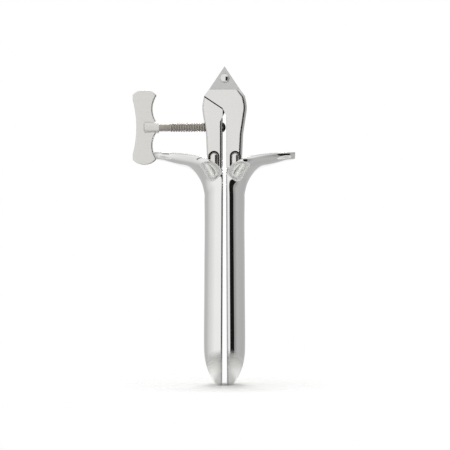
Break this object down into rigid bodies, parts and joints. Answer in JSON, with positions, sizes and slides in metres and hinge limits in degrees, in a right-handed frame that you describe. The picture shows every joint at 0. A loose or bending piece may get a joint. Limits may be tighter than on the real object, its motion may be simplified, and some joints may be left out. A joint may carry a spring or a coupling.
{
  "type": "bivalve speculum",
  "caption": "Hinged steel speculum: facing trough-shaped blades with flared lips on lapped arms, spread by a wing screw that pushes on the far arm.",
  "frame": {"origin": "between the blade tips, in the parting plane, at the height of the tips' lowest point", "axes": "+Z from the blade tips along the closed blades to the hinge; X the way the blades open, with the wing screw on the -X side; -Y the side of the arms"},
  "size_m": [0.0779, 0.0505, 0.1531],
  "materials": {
    "polished_steel": "mirror polished stainless steel sheet",
    "forged_steel": "polished forged stainless steel",
    "turned_steel": "turned and polished stainless steel",
    "threaded_steel": "cut thread in stainless steel",
    "satin_steel": "satin ground stainless steel"
  },
  "bodies": {
    "left_side": {"left_valve": "polished_steel", "left_arm": "forged_steel", "pivot_rivet": "turned_steel"},
    "right_side": {"right_valve": "polished_steel", "right_arm": "forged_steel"},
    "foot": {"thrust_foot": "turned_steel"},
    "screw": {"thrust_screw": "threaded_steel", "wing_grip": "satin_steel"}
  },
  "joints": [
    {"name": "valve_pivot", "type": "hinge", "parent": "left_side", "child": "right_side", "pos_m": [0, -0.023, 0.1474], "axis": [0, -1, 0], "range_deg": [0, 22]},
    {"name": "screw_travel", "type": "slide", "parent": "left_side", "child": "foot", "axis": [1, 0, 0], "range_m": [0, 0.0091]},
    {"name": "screw_turn", "type": "hinge", "parent": "foot", "child": "screw", "pos_m": [-0.02, -0.023, 0.1241], "axis": [1, 0, 0], "range_deg": [0, 2730.3]}
  ],
  "couplings": [
    {"joint": "screw_travel", "follows": "valve_pivot", "m_per_rad": 0.0237},
    {"joint": "screw_turn", "follows": "valve_pivot", "ratio": 124.09}
  ]
}
